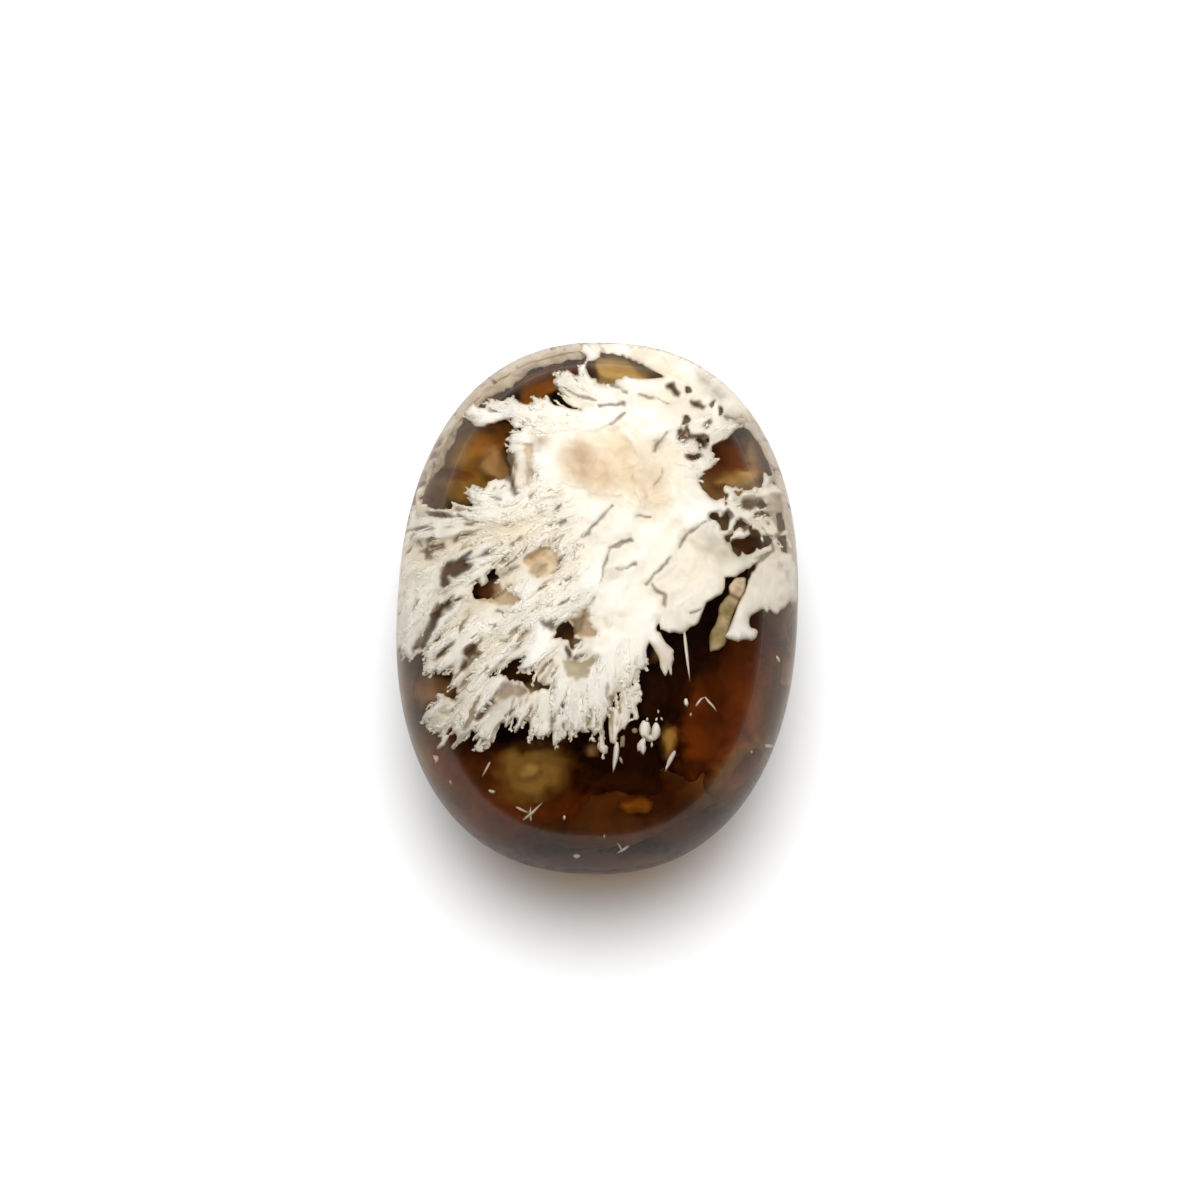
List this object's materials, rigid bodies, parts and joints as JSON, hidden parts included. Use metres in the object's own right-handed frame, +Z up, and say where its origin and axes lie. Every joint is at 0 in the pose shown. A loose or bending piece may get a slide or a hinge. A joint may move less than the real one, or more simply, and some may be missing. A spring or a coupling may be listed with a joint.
{
  "type": "moss agate pebble",
  "caption": "Polished oval pebble of brown see-through moss agate with white plume inclusions, domed above and lying on a small flat spot.",
  "frame": {"origin": "the middle of the flat spot that the pebble lies on, below the centre of its outline", "axes": "+Z up from the flat to the top of the dome, +Y along the pebble's length, +X across it"},
  "size_m": [0.03, 0.042, 0.0185],
  "materials": {
    "agate": "polished, see-through brown chalcedony",
    "white_plume": "matt white to cream inclusions sealed in the stone",
    "ochre_cloud": "matt ochre and tan inclusions sealed in the stone",
    "dark_cloud": "dark iron-stained inclusions sealed in the stone"
  },
  "bodies": {
    "root": {"moss_agate": "agate"}
  },
  "joints": []
}
